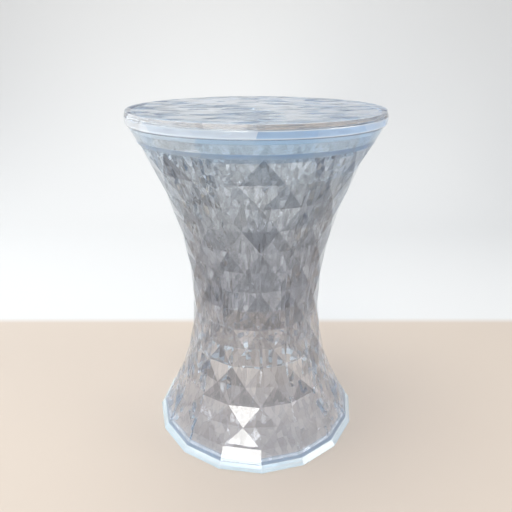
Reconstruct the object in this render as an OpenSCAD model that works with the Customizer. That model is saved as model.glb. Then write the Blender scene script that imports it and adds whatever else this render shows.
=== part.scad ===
// Clear hourglass stool with flat triangular facets, in millimetres.
// The origin is the centre of the foot on the floor, +Z is up and -Y is the front.

/* [Stool] */
// Height of the seat above the floor
seat_h = 450; // [430:1:470]
// Number of flat facets round each row
facets = 16; // [12:1:20]
// Turn of the first facet corner from the front towards +X, in degrees
facet_turn = 3; // [0:0.5:11]
// Thickness of the clear wall at the facet corners, measured level
wall = 6.5; // [6:0.5:7]

/* [Hourglass] */
// Radius at the floor, over the corners
foot_r = 149; // [140:1:155]
// Radius at the waist, over the corners
waist_r = 89.5; // [80:0.5:100]
// Height of the waist
waist_z = 200; // [190:1:210]
// Radius at the top of the neck, under the seat
brim_r = 158.5; // [150:0.5:159]
// How sharply the foot flares
foot_flare = 2.2; // [1.8:0.1:2.6]
// How sharply the neck flares
brim_flare = 1.9; // [1.6:0.1:2.2]

/* [Facet rows] */
// Rows of triangles, an even number
rows = 14; // [12:2:16]
// Height of the lowest row's bottom edge
rows_z = 26; // [24:1:30]
// Height of the top row over the height of the lowest row
row_growth = 1.22; // [1:0.02:1.4]

/* [Seat] */
// Radius of the seat at its widest
seat_r = 160.5; // [160:0.5:165]
// Height of the seat's rim
rim_h = 15; // [13:0.5:17]
// Height of the steep bevel on the rim
bevel_h = 6.5; // [4:0.5:8]
// Inset of that bevel at the top
bevel_in = 2; // [1:0.5:4]
// Thickness of the seat's plate
plate_t = 8; // [6:0.5:9]
// Depth of the cut star under the plate, at its centre
star_depth = 11; // [6:0.5:12]

/* [Neck collar] */
// Height of the plain collar between the facets and the seat
collar_h = 21.5; // [18:0.5:26]

/* [Base ring and pads] */
// Height of the base ring
ring_h = 9; // [8:0.5:12]
// Radius of a floor pad
pad_r = 6; // [5:0.5:7]
// Thickness of a floor pad
pad_t = 1.2; // [1:0.1:2]

/* [Hidden] */
$fn = 128;

step = 360 / facets;            // angle of one facet
flat = cos(step / 2);           // middle of a flat over its corner radius
clearance = 0.4;                // gap round each locating skirt
skirt_t = 3;                    // thickness of a locating skirt
skirt_h = 5;                    // how far a locating skirt reaches into the next piece
spigot_h = 2;                   // how far the base ring reaches up inside the shell
seam = 0.8;                     // how far each joint steps in, so that it reads as a line
pads = 4;

seat_under = seat_h - rim_h;            // where the seat's rim rests on the collar
collar_z = seat_under - collar_h;       // where the collar rests on the shell
plate_z = seat_h - plate_t;             // underside of the seat's plate
row_h = (collar_z - rows_z) / (rows * (1 + row_growth) / 2);
row_step = row_h * (row_growth - 1) / (rows - 1);

// Radius of the hourglass at height z, over the corners.
function side_r(z) = z < waist_z
    ? waist_r + (foot_r - waist_r) * pow((waist_z - z) / waist_z, foot_flare)
    : waist_r + (brim_r - waist_r) * pow((z - waist_z) / (seat_under - waist_z), brim_flare);

// Height of the edge above row k, where row heights grow steadily upwards.
function row_z(k) = rows_z + k * row_h + row_step * k * (k - 1) / 2;

// Largest round radius that goes down inside the shell at height z.
function bore_r(z) = (side_r(z) - wall) * flat - clearance;

// A point between a and b.
function between(a, b, share) = a + (b - a) * share;

// One ring of corners: [radius, height, turn in facets].
function corners(ring) =
    [for (i = [0:facets - 1])
        let (a = -90 + facet_turn + (i + ring[2]) * step)
        [ring[0] * cos(a), ring[0] * sin(a), ring[1]]];

// The faces between ring j and ring k of a closed loop of rings: flat quads where both
// rings have the same turn, and two rows of interlocking triangles where they differ.
function band(rings, j, k) =
    [for (i = [0:facets - 1])
        let (n = (i + 1) % facets, a = j * facets, b = k * facets, turned = rings[k][2] - rings[j][2])
        each turned == 0 ? [[a + i, b + i, b + n, a + n]]
            : turned > 0 ? [[a + i, b + i, a + n], [a + n, b + i, b + n]]
            : [[a + i, b + i, b + n], [a + i, b + n, a + n]]];

// A ring-shaped solid with flat facets, from a closed loop of rings that goes up outside
// and down inside.
module faceted_loop(rings) {
    count = len(rings);
    polyhedron(
        points = [for (ring = rings) each corners(ring)],
        faces = [for (j = [0:count - 1]) each band(rings, j, (j + 1) % count)],
        convexity = 10);
}

// The flat plate with a steep bevelled rim, a locating skirt and a cut star underneath.
module seat_disc() {
    skirt_top = side_r(seat_under) - wall - clearance;
    skirt_low = side_r(seat_under - skirt_h) - wall - clearance;
    color([0.70, 0.80, 0.92, 0.6]) {
        rotate_extrude()
            polygon([
                [0, plate_z], [0, seat_h], [seat_r - bevel_in, seat_h], [seat_r, seat_h - bevel_h],
                [seat_r - 0.3, seat_under + seam], [seat_r - 0.3 - seam, seat_under],
                [skirt_top, seat_under], [skirt_low, seat_under - skirt_h],
                [skirt_low - skirt_t, seat_under - skirt_h], [skirt_top - wall, plate_z]]);
        seat_star();
    }
}

// Shallow cut facets that point down from the plate, like the back of a gem.
module seat_star() {
    star_r = seat_r - 20;
    faceted_loop([
        [star_r * 0.02, plate_z - star_depth, 0],
        [star_r * 0.34, plate_z - star_depth * 0.62, 0.5],
        [star_r * 0.68, plate_z - star_depth * 0.5, 0],
        [star_r, plate_z - star_depth * 0.1, 0.5],
        [star_r, plate_z + 1, 0.5],
        [star_r * 0.02, plate_z + 1, 0]]);
}

// The plain round collar that joins the faceted shell to the seat.
module neck_collar() {
    rise = [for (s = [0:4]) between(collar_z, seat_under, s / 4)];
    skirt_z = collar_z - skirt_h;
    color([0.66, 0.75, 0.86, 0.6])
        rotate_extrude()
            polygon(concat(
                [for (z = rise) [side_r(z) + (z == collar_z ? seam : 0), z]],
                [for (s = [4:-1:1]) [side_r(rise[s]) - wall, rise[s]]],
                [[bore_r(collar_z) - skirt_t, collar_z], [bore_r(skirt_z) - skirt_t, skirt_z],
                 [bore_r(skirt_z), skirt_z], [bore_r(collar_z), collar_z]]));
}

// The hollow hourglass: interlocking triangles outside, and inside one tall flat for
// every second row, with its creases straight above each other.
module faceted_shell() {
    foot = side_r(ring_h) - seam;
    outside = concat(
        [[foot, ring_h, 0]],
        [for (k = [0:rows]) [side_r(row_z(k)), row_z(k), k % 2 / 2]]);
    inside = concat(
        [for (k = [rows:-2:0]) [side_r(row_z(k)) - wall, row_z(k), 0]],
        [[foot - wall, ring_h, 0]]);
    color([0.62, 0.67, 0.73, 0.5])
        faceted_loop(concat(outside, inside));
}

// The flat-sided ring that the shell stands in, with its top edge chamfered.
module base_ring() {
    chamfer_z = ring_h * 0.62;
    shell_low = side_r(ring_h) - seam - wall;
    shell_high = side_r(rows_z) - wall;
    spigot_top = between(shell_low, shell_high, spigot_h / (rows_z - ring_h));
    color([0.78, 0.88, 0.97, 0.6])
        faceted_loop([
            [foot_r, pad_t, 0],
            [between(foot_r, side_r(ring_h), 0.5), chamfer_z, 0],
            [side_r(ring_h), ring_h, 0],
            [shell_low - clearance, ring_h, 0],
            [spigot_top - clearance, ring_h + spigot_h, 0],
            [spigot_top - clearance - skirt_t, ring_h + spigot_h, 0],
            [shell_low - wall, pad_t, 0]]);
}

// One of the soft clear pads stuck under the base ring.
module floor_pad(number) {
    pad_at = (foot_r + side_r(ring_h) - wall * 2) / 2 * flat;
    color([0.85, 0.88, 0.90, 0.5])
        rotate(-90 + facet_turn + step / 2 + number * 360 / pads)
            translate([pad_at, 0, 0])
                cylinder(r = pad_r, h = pad_t, $fn = 48);
}

seat_disc();
neck_collar();
faceted_shell();
base_ring();
floor_pad(0);  // floor_pad_1
floor_pad(1);  // floor_pad_2
floor_pad(2);  // floor_pad_3
floor_pad(3);  // floor_pad_4
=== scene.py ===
import math
import random
from collections import namedtuple

import bmesh
import bpy
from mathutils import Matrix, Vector


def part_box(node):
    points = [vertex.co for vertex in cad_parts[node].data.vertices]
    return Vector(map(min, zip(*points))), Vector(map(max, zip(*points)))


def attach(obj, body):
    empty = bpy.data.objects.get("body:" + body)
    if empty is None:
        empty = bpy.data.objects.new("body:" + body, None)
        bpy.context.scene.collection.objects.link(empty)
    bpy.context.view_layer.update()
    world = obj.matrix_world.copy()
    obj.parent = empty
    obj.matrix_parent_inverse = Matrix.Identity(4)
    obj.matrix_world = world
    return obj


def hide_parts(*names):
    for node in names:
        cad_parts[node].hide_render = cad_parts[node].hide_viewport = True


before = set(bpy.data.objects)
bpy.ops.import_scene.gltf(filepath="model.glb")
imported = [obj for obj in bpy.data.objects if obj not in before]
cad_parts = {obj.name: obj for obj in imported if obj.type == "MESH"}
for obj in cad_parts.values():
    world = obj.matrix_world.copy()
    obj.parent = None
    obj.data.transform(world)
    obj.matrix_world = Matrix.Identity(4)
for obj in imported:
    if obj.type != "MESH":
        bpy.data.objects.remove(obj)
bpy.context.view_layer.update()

# Pieces, in metres
PADS = [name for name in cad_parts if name.startswith("floor_pad")]
SHELL_FOOT, SHELL_TOP = [corner[2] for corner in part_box("faceted_shell")]
SEAT_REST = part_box("neck_collar")[1][2]         # where the seat's rim rests on the collar
STAR_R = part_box("seat_disc")[1][0] - 0.0185     # just outside the cut star under the seat
GENTLE_BELOW = 0.08         # below this the shell's shards are gentler and its facets more alike
LIP_RISE = 0.0005           # parts of the base ring this far up inside the shell are its lip
WELD = 0.00002              # corners closer than this are one
FLAT_ANGLE = math.radians(0.3)      # faces that differ by less than this are one
SMOOTH_ANGLE = math.radians(3.2)    # sharper edges than this are real ones
ROUND_BIAS = 0.35           # below 1, so most edges of the shell are only slightly rounded

# Which way a face looks: the upward share of its normal, and for INWARD the outward share
LEVEL = 0.9                 # a level face, such as a bonded joint, has more than this
STEEP = 0.7                 # an upright or steep face has less than this
TILTED_UP = 0.1
TILTED_DOWN = -0.2
INWARD = -0.3

# Painted light and shade on facets and arcs, from 0 for the deepest painted shade to 1 for none
SIDE_PAINTED_LIGHT = (0.1, 0.7, 0, 0.3, 0.9, 0.2, 0, 0.6, 0.9, 1, 0.7, 0.6, 0, 0.1, 0.3, 0.5)   # painted light round the seat's side and bevel, brightest mostly towards the windows on the left
# painted light round the outside of the collar, brightest towards the windows on the left
COLLAR_PAINTED_LIGHT = (0.5, 0.2, 0.7, 0.4, 0, 0.6, 0.3, 0.8, 1, 0.7, 0.9, 0.2, 0, 0.3, 0.1, 0.6)
PAINTED_LIGHT_FACETS = (0.45, 1)    # painted light on triangles on their corner, which catch more light
PAINTED_SHADE_FACETS = (0, 0.55)     # painted shade on triangles on their base
# painted shade on the facets of the cut star under the seat
STAR_FACETS = (0, 0.7)
ODD_SHARE = 0.12            # share of the triangles that have the other kind's painted light and shade
LEAST_CONTRAST = 0.4        # contrast of painted light and shade between the triangles at the very foot
chance = random.Random(11)

# Plastic
PLASTIC_IOR = 1.49          # moulded acrylic
LAMP_SHARE = 0.92           # how much lamp light a clear wall lets through, each face
LAMP_TINT = 0.4             # how much of its tint a wall gives to that light
PALER = 0.8                 # strength of the tint where it is palest
CLOUD_SCALE = 9             # clouds in the tint, per metre
POLISH_SCALE = 55           # patches of polish, per metre
WAVE_SCALE = 40             # waves left by the mould, per metre
WAVE_DEPTH = 0.00006        # metres
SHELL_TINT_AND_SHADE = (             # the shell's tint, with painted shade darkest at the waist and painted light above the foot, at heights above the floor, in metres
    (0.02, (0.70, 0.74, 0.83)),
    (0.12, (0.97, 0.97, 0.99)),
    (0.17, (0.86, 0.86, 0.89)),
    (0.22, (0.51, 0.52, 0.56)),
    (0.28, (0.57, 0.59, 0.63)),
    (0.36, (0.79, 0.84, 0.87)),
    (0.41, (0.76, 0.85, 0.93)))
Shards = namedtuple("Shards", "size tilt stretch dark")     # dark: what the colour is multiplied by in the deepest painted shade

# Stage, in metres
FLOOR_TINT = (0.64, 0.55, 0.465)
WALL_TINT = (0.77, 0.77, 0.76)
PAINT_ROUGHNESS = 0.6
FLOOR_TO_WALL = (0.24, 0.26)    # how far back the warm floor turns to the cool wall
FLOOR_HALF = 2.4            # half the width of the sweep
FLOOR_FRONT = 2.0           # how far the floor comes forward
WALL_Y = 1.5                # how far back the wall stands
WALL_H = 2.6
SWEEP_R = 0.7               # radius of the curve between floor and wall
SWEEP_STEPS = 24
ROOM_TINT = (0.86, 0.88, 0.92)
ROOM_LIGHT = 0.72

# Camera
EYE = (0, -0.628, 0.512)    # the eye of a person who stands in front of the stool, in metres
LOOK_DOWN = 22.7            # degrees below level
LENS = 34.2                 # mm
SENSOR = 36                 # mm across
BOUNCES = 24                # enough for a ray to pass four clear walls and reflect inside them
TRANSPARENT_BOUNCES = 32


# ---------------------------------------------------------------- node helpers

def new_material(name):
    """An empty node material: (material, nodes, links, output)."""
    material = bpy.data.materials.new(name)
    material.use_nodes = True
    tree = material.node_tree
    tree.nodes.clear()
    return material, tree.nodes, tree.links, tree.nodes.new("ShaderNodeOutputMaterial")


def noise(nodes, links, scale, detail):
    """A noise texture in metres of the object's own space; returns its value socket."""
    place = nodes.new("ShaderNodeTexCoord")
    texture = nodes.new("ShaderNodeTexNoise")
    texture.inputs["Scale"].default_value = scale
    texture.inputs["Detail"].default_value = detail
    links.new(place.outputs["Object"], texture.inputs["Vector"])
    return texture.outputs["Fac"]


def spread(nodes, links, value, low, high, start=0.3, end=0.7):
    """Maps value from start..end to low..high."""
    ramp = nodes.new("ShaderNodeMapRange")
    ramp.inputs["From Min"].default_value = start
    ramp.inputs["From Max"].default_value = end
    ramp.inputs["To Min"].default_value = low
    ramp.inputs["To Max"].default_value = high
    links.new(value, ramp.inputs["Value"])
    return ramp.outputs["Result"]


def along(nodes, links, axis, start, end):
    """How far a point lies along one of the object's axes: 0 at start, 1 at end."""
    place = nodes.new("ShaderNodeTexCoord")
    split = nodes.new("ShaderNodeSeparateXYZ")
    links.new(place.outputs["Object"], split.inputs["Vector"])
    return spread(nodes, links, split.outputs[axis], 0, 1, start, end)


def two_tints(nodes, links, value, tint_a, tint_b):
    """A colour that runs from tint_a to tint_b as value runs from 0 to 1."""
    mix = nodes.new("ShaderNodeMix")
    mix.data_type = "RGBA"
    mix.inputs["A"].default_value = (*tint_a, 1)
    mix.inputs["B"].default_value = (*tint_b, 1)
    links.new(value, mix.inputs["Factor"])
    return mix.outputs["Result"]


def height_tints(nodes, links, stops):
    """A colour that changes with height: stops are (height in metres, colour)."""
    ramp = nodes.new("ShaderNodeValToRGB")
    while len(ramp.color_ramp.elements) < len(stops):
        ramp.color_ramp.elements.new(0.5)
    for element, (height, tint) in zip(ramp.color_ramp.elements, stops):
        element.position = height / SHELL_TOP
        element.color = (*tint, 1)
    links.new(along(nodes, links, "Z", 0, SHELL_TOP), ramp.inputs["Fac"])
    return ramp.outputs["Color"]


def face_painted_light(nodes):
    """The painted light and shade that each face of the mesh carries."""
    painted_light = nodes.new("ShaderNodeAttribute")
    painted_light.attribute_name = "painted_light"
    return painted_light.outputs["Fac"]


def shaded(nodes, links, colour, painted_light, dark):
    """Painted shade: the colour times dark where the painted light is 0, unchanged where it is 1."""
    shade = two_tints(nodes, links, painted_light, dark, (1, 1, 1))
    product = nodes.new("ShaderNodeMix")
    product.data_type = "RGBA"
    product.blend_type = "MULTIPLY"
    product.inputs["Factor"].default_value = 1
    links.new(colour, product.inputs["A"])
    links.new(shade, product.inputs["B"])
    return product.outputs["Result"]


def flat_shards(nodes, links, shards):
    """Small flat shards: a height that falls a different way in each, and painted light and shade, one
    value for each.
    """
    place = nodes.new("ShaderNodeTexCoord")
    squeeze = nodes.new("ShaderNodeMapping")
    squeeze.inputs["Scale"].default_value = shards.stretch
    cells = nodes.new("ShaderNodeTexVoronoi")
    cells.inputs["Scale"].default_value = 1 / shards.size
    links.new(place.outputs["Object"], squeeze.inputs["Vector"])
    links.new(squeeze.outputs["Vector"], cells.inputs["Vector"])
    centred = nodes.new("ShaderNodeVectorMath")
    centred.operation = "SUBTRACT"
    centred.inputs[1].default_value = (0.5, 0.5, 0.5)
    links.new(cells.outputs["Color"], centred.inputs[0])
    slope = nodes.new("ShaderNodeVectorMath")
    slope.operation = "DOT_PRODUCT"
    links.new(centred.outputs["Vector"], slope.inputs[0])
    links.new(squeeze.outputs["Vector"], slope.inputs[1])
    height = nodes.new("ShaderNodeMath")
    height.operation = "MULTIPLY"
    height.inputs[1].default_value = 2 * shards.tilt
    links.new(slope.outputs["Value"], height.inputs[0])
    painted_light = nodes.new("ShaderNodeSeparateColor")
    links.new(cells.outputs["Color"], painted_light.inputs["Color"])
    return height.outputs["Value"], painted_light.outputs["Blue"]


def clear_plastic(name, tint, clear=1.0, dark=None, stops=None, roughness=(0.01, 0.05), shards=None):
    """Clear moulded plastic: tinted (by height where stops are given), wavy or in shards, unevenly
    polished, with painted light and shade where its faces or shards carry it. Lamps shine through it.
    """
    material, nodes, links, output = new_material(name)
    plastic = nodes.new("ShaderNodeBsdfPrincipled")
    plastic.inputs["IOR"].default_value = PLASTIC_IOR
    plastic.inputs["Transmission Weight"].default_value = clear
    if stops:
        colour = height_tints(nodes, links, stops)
    else:
        cloud = spread(nodes, links, noise(nodes, links, CLOUD_SCALE, 3), 0, 1)
        colour = two_tints(nodes, links, cloud, tint, [1 - (1 - c) * PALER for c in tint])
    if dark:
        colour = shaded(nodes, links, colour, face_painted_light(nodes), dark)
    polish = noise(nodes, links, POLISH_SCALE, 4)
    links.new(spread(nodes, links, polish, *roughness), plastic.inputs["Roughness"])
    bump = nodes.new("ShaderNodeBump")
    if shards:
        height, painted_light = flat_shards(nodes, links, shards)
        bump.inputs["Distance"].default_value = 1
        links.new(height, bump.inputs["Height"])
        colour = shaded(nodes, links, colour, painted_light, [shards.dark] * 3)
    else:
        bump.inputs["Distance"].default_value = WAVE_DEPTH
        links.new(noise(nodes, links, WAVE_SCALE, 1), bump.inputs["Height"])
    links.new(bump.outputs["Normal"], plastic.inputs["Normal"])
    links.new(colour, plastic.inputs["Base Color"])

    lamps = nodes.new("ShaderNodeLightPath")
    window = nodes.new("ShaderNodeBsdfTransparent")
    passed = [LAMP_SHARE * (1 - LAMP_TINT + LAMP_TINT * c) for c in tint]
    window.inputs["Color"].default_value = (*passed, 1)
    if dark:
        links.new(colour, window.inputs["Color"])
    choose = nodes.new("ShaderNodeMixShader")
    links.new(lamps.outputs["Is Shadow Ray"], choose.inputs["Fac"])
    links.new(plastic.outputs["BSDF"], choose.inputs[1])
    links.new(window.outputs["BSDF"], choose.inputs[2])
    links.new(choose.outputs["Shader"], output.inputs["Surface"])
    return material


# ---------------------------------------------------------------- faces

def from_axis(face):
    """How far the middle of a face is from the stool's axis."""
    return math.hypot(face.center.x, face.center.y)


def looks_inward(face):
    """Whether a face of a ring-shaped piece looks towards the stool's axis."""
    at = face.center
    return at.x * face.normal.x + at.y * face.normal.y < INWARD * from_axis(face)


def points_down(face):
    """Whether a triangle stands on its corner."""
    levels = [face.id_data.vertices[v].co.z for v in face.vertices]
    return face.center.z > (min(levels) + max(levels)) / 2


def arc_painted_light(face, painted_lights):
    """The painted light of the arc round the axis that a face lies in."""
    turn = math.atan2(face.center.y, face.center.x) % math.tau
    return painted_lights[int(turn / math.tau * len(painted_lights))]


# ---------------------------------------------------------------- pieces

def round_weights(shape, uneven):
    """Bevel weight of every edge: real ones are rounded, some less than others."""
    weight = shape.edges.layers.float.new("bevel_weight_edge")
    for edge in shape.edges:
        real = edge.calc_face_angle(0) > SMOOTH_ANGLE
        edge[weight] = 1 - uneven * chance.random() ** ROUND_BIAS if real else 0


def rounded_copy(node, edge_width, materials, painted_light_of=None, edge_material=-1, slot_of=None,
                 uneven=0):
    """The CAD node's own shape with every sharp edge rounded, standing for that node."""
    shape = bmesh.new()
    shape.from_mesh(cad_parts[node].data)
    bmesh.ops.remove_doubles(shape, verts=shape.verts, dist=WELD)
    bmesh.ops.dissolve_limit(shape, angle_limit=FLAT_ANGLE, verts=shape.verts, edges=shape.edges)
    bmesh.ops.recalc_face_normals(shape, faces=shape.faces)
    round_weights(shape, uneven)
    mesh = bpy.data.meshes.new(node + "_moulded")
    shape.to_mesh(mesh)
    shape.free()
    mesh.shade_smooth()
    mesh.set_sharp_from_angle(angle=SMOOTH_ANGLE)
    for material in materials:
        mesh.materials.append(material)
    if slot_of:
        for face in mesh.polygons:
            face.material_index = slot_of(face)
    if painted_light_of:
        painted_lights = mesh.attributes.new("painted_light", "FLOAT", "FACE")
        for face in mesh.polygons:
            painted_lights.data[face.index].value = painted_light_of(face)
    piece = bpy.data.objects.new(node + "_moulded", mesh)
    bpy.context.scene.collection.objects.link(piece)
    bevel = piece.modifiers.new("edge", "BEVEL")
    bevel.width = edge_width
    bevel.segments = 2
    bevel.limit_method = "WEIGHT"
    bevel.harden_normals = True
    bevel.material = edge_material
    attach(piece, "root")
    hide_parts(node)


def seat_painted_light(face):
    """Painted shade on the facets of the cut star under the seat and painted light in arcs round its side
    and bevel; the plate has none.
    """
    if face.normal.z < TILTED_DOWN and from_axis(face) < STAR_R:
        return chance.uniform(*STAR_FACETS)
    if abs(face.normal.z) > STEEP or face.center.z < SEAT_REST:
        return 1
    return arc_painted_light(face, SIDE_PAINTED_LIGHT)


def seat_slot(face):
    """0 for the blue plate and its star, 2 for the bevel, 3 for the side under it and the skirt."""
    outer = from_axis(face) > STAR_R
    if outer and face.center.z < SEAT_REST:
        return 3
    if not outer or looks_inward(face) or abs(face.normal.z) >= STEEP:
        return 0
    return 2 if face.normal.z > TILTED_UP else 3


def seat(highlight_and_frost_plastic):
    """A blue plate full of painted streaks, with a bevel in a warm painted reflection and a bluish side in
    painted arcs of light and shade.
    """
    # the plate's shard streaks, the bevel's warm colour and the arcs on bevel and side are painted light,
    # shade and reflection
    plate_plastic = clear_plastic("seat_plastic", (0.46, 0.66, 0.89), clear=0.97,
                                  dark=(0.52, 0.66, 0.81), shards=Shards(0.012, 0.15, (0.5, 1, 1), 0.6))
    bevel_painted_reflection = clear_plastic("bevel_painted_reflection", (0.84, 0.80, 0.76), clear=0.84, dark=(0.62, 0.58, 0.55))
    side_plastic = clear_plastic("side_plastic", (0.95, 0.97, 0.98), clear=0.5, dark=(0.44, 0.58, 0.76))
    rounded_copy("seat_disc", 0.0006,
                 [plate_plastic, highlight_and_frost_plastic, bevel_painted_reflection, side_plastic],
                 seat_painted_light, edge_material=1, slot_of=seat_slot)


def collar_painted_light(face):
    """Painted light and shade in arcs round the outside of the collar; its inside is even."""
    return 1 if looks_inward(face) else arc_painted_light(face, COLLAR_PAINTED_LIGHT)


def collar():
    """The plain band under the seat, with painted light in arcs round it."""
    plastic = clear_plastic("collar_plastic", (0.74, 0.80, 0.84), clear=0.85, dark=(0.62, 0.76, 0.90))
    rounded_copy("neck_collar", 0.0004, [plastic], collar_painted_light)


def shell_painted_light(face):
    """Painted light and shade on the outside triangles: lighter on their corner, darker on their base,
    with less contrast towards the foot.
    """
    if looks_inward(face) or len(face.vertices) > 3:
        return 1
    painted_lit_kind = points_down(face) != (chance.random() < ODD_SHARE)
    painted_light = chance.uniform(*PAINTED_LIGHT_FACETS) if painted_lit_kind else chance.uniform(*PAINTED_SHADE_FACETS)
    contrast = min(max(face.center.z / GENTLE_BELOW, LEAST_CONTRAST), 1)
    return 1 - (1 - painted_light) * contrast


def shell_slot(face):
    """0 for the outside facets, 1 for the inside, 2 for the inside of the foot, 3 for bonded faces."""
    if abs(face.normal.z) > LEVEL:
        return 3
    if not looks_inward(face):
        return 0
    return 1 if face.center.z > GENTLE_BELOW else 2


def shell(highlight_and_frost_plastic):
    """The faceted hourglass: painted light and shade on the triangles outside and on small upright shards
    inside.
    """
    # painted shade: the darkest outside triangles are the colour times dark, and the tint by height is
    # painted darker at the waist
    facet_plastic = clear_plastic("shell_plastic", (0.60, 0.62, 0.65), clear=0.93, dark=(0.32, 0.34, 0.38),
                                  stops=SHELL_TINT_AND_SHADE, roughness=(0.0, 0.02))
    # painted light and shade in shards, standing in for the room refracted through the inside
    inside_plastic = clear_plastic("shell_inside", (0.97, 0.97, 0.98), clear=0.98, roughness=(0.0, 0.004),
                                   shards=Shards(0.006, 0.38, (1, 1, 0.13), 0.5))
    gentle_plastic = clear_plastic("shell_even", (0.96, 0.96, 0.97), roughness=(0.0, 0.004),
                                   shards=Shards(0.007, 0.18, (1, 1, 0.3), 0.6))
    rounded_copy("faceted_shell", 0.0009,
                 [facet_plastic, inside_plastic, gentle_plastic, highlight_and_frost_plastic],
                 shell_painted_light, slot_of=shell_slot, uneven=0.9)


def ring_slot(face):
    """0 for the ring, 1 for the lip that reaches up inside the shell, bright with the edges' painted
    highlight.
    """
    return 1 if face.center.z > SHELL_FOOT + LIP_RISE else 0


def ring(highlight_and_frost_plastic):
    """The pale blue ring at the floor."""
    plastic = clear_plastic("ring_plastic", (0.84, 0.94, 0.98), clear=0.65)
    rounded_copy("base_ring", 0.0006, [plastic, highlight_and_frost_plastic],
                 edge_material=1, slot_of=ring_slot)


def pads():
    """The soft clear pads under the ring."""
    plastic = clear_plastic("pad_plastic", (0.80, 0.82, 0.83), roughness=(0.25, 0.4))
    for pad in PADS:
        rounded_copy(pad, 0.0002, [plastic])


# ---------------------------------------------------------------- stage, lights, camera

def stage():
    """A pale floor that sweeps up into a pale wall behind the stool."""
    material, nodes, links, output = new_material("studio_sweep")
    paint = nodes.new("ShaderNodeBsdfPrincipled")
    back = along(nodes, links, "Y", *FLOOR_TO_WALL)
    links.new(two_tints(nodes, links, back, FLOOR_TINT, WALL_TINT), paint.inputs["Base Color"])
    paint.inputs["Roughness"].default_value = PAINT_ROUGHNESS
    links.new(paint.outputs["BSDF"], output.inputs["Surface"])
    mesh = bpy.data.meshes.new("studio_sweep")
    shape = bmesh.new()
    arc = [math.radians(90 * s / SWEEP_STEPS) for s in range(SWEEP_STEPS + 1)]
    profile = [(-FLOOR_FRONT, 0)]
    profile += [(WALL_Y - SWEEP_R + SWEEP_R * math.sin(t), SWEEP_R - SWEEP_R * math.cos(t)) for t in arc]
    profile += [(WALL_Y, WALL_H)]
    rows = [[shape.verts.new((x, y, z)) for x in (-FLOOR_HALF, FLOOR_HALF)] for y, z in profile]
    for low, high in zip(rows, rows[1:]):
        shape.faces.new((low[0], low[1], high[1], high[0]))
    shape.to_mesh(mesh)
    shape.free()
    mesh.shade_smooth()
    mesh.materials.append(material)
    sweep = bpy.data.objects.new("studio_sweep", mesh)
    bpy.context.scene.collection.objects.link(sweep)


def softbox(name, at, size, power, colour, aim=(0, 0, 0.22), beam=180):
    """A rectangular studio light at a place, aimed at the stool, with a beam this many degrees wide."""
    light = bpy.data.lights.new(name, "AREA")
    light.shape = "RECTANGLE"
    light.size, light.size_y = size
    light.energy = power
    light.color = colour
    light.spread = math.radians(beam)
    lamp = bpy.data.objects.new(name, light)
    lamp.location = at
    lamp.rotation_euler = (Vector(aim) - Vector(at)).to_track_quat("-Z", "Y").to_euler()
    bpy.context.scene.collection.objects.link(lamp)


def lights():
    """Windows on the left and in front, a skylight, a lamp on the right, and a bright room."""
    softbox("window_left", (-1.7, -0.2, 0.95), (2.2, 1.0), 6, (0.97, 0.99, 1.0), beam=90)
    softbox("window_back_left", (-1.45, 0.95, 0.75), (0.8, 0.9), 1.4, (0.97, 0.99, 1.0), beam=110)
    softbox("window_front", (-0.57, -2.1, 0.33), (0.7, 0.64), 2.2, (1.0, 0.99, 0.94),
            aim=(0, 0, 0.05), beam=60)
    softbox("window_front_wide", (-0.9, -1.9, 1.35), (1.3, 0.35), 2, (1.0, 0.94, 0.86), beam=120)
    softbox("sky_above", (-0.3, 0.2, 2.3), (1.8, 1.2), 17, (0.92, 0.96, 1.0))
    softbox("strip_right", (1.7, -0.5, 0.5), (0.9, 0.7), 4.2, (1.0, 0.97, 0.93), beam=90)
    world = bpy.data.worlds.new("studio")
    world.use_nodes = True
    back = world.node_tree.nodes["Background"]
    back.inputs["Color"].default_value = (*ROOM_TINT, 1)
    back.inputs["Strength"].default_value = ROOM_LIGHT
    bpy.context.scene.world = world


def camera():
    """The photo's viewing angle: standing in front of the stool and looking down at it."""
    data = bpy.data.cameras.new("camera")
    data.sensor_width = SENSOR
    data.lens = LENS
    eye = bpy.data.objects.new("camera", data)
    eye.location = EYE
    eye.rotation_euler = (math.radians(90 - LOOK_DOWN), 0, 0)
    bpy.context.scene.collection.objects.link(eye)
    bpy.context.scene.camera = eye


def light_paths():
    """How far light is followed in the clear walls. Total reflection in them counts as glossy."""
    cycles = bpy.context.scene.cycles
    cycles.max_bounces = BOUNCES
    cycles.transmission_bounces = BOUNCES
    cycles.glossy_bounces = BOUNCES
    cycles.transparent_max_bounces = TRANSPARENT_BOUNCES
    cycles.caustics_reflective = False
    cycles.caustics_refractive = True
    bpy.context.scene.view_settings.view_transform = "Standard"


edges = clear_plastic("highlight_and_frost_plastic", (0.92, 0.95, 0.97), clear=0.65)   # painted highlight on the rounded edges and the ring's lip; a slightly frosted finish on the bonded faces
seat(edges)
collar()
shell(edges)
ring(edges)
pads()

stage()
lights()
camera()
light_paths()
